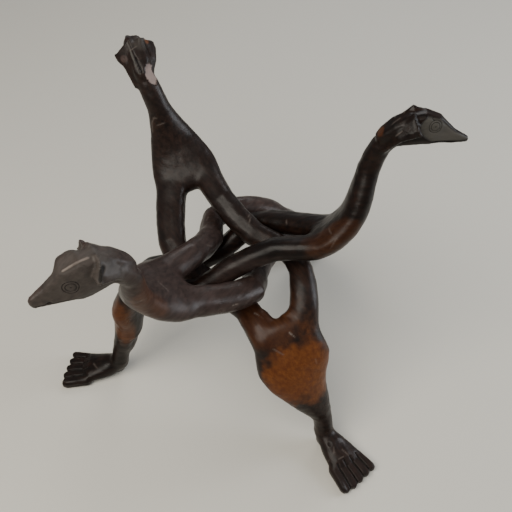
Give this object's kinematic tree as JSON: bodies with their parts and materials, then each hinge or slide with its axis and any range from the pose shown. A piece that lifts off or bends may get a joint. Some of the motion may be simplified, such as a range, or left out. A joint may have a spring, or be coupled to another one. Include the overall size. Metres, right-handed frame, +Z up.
{
  "type": "interlocking carved tripod stand",
  "caption": "Interlocking carved wooden tripod stand: loose legs with long-necked animal heads above and bare feet below cross through one another's slots to carry a bowl or tray.",
  "frame": {"origin": "on the floor, at the middle of the stand's footprint", "axes": "+Z up, +X towards the right-hand head, +Y away from the viewer"},
  "size_m": [0.323, 0.3072, 0.2768],
  "materials": {
    "dark_wood": "hand-rubbed dark patina, satin, worn warm brown on edges and shanks"
  },
  "bodies": {
    "root": {"leg_head_back": "dark_wood", "leg_head_right": "dark_wood", "leg_head_left": "dark_wood"}
  },
  "joints": []
}
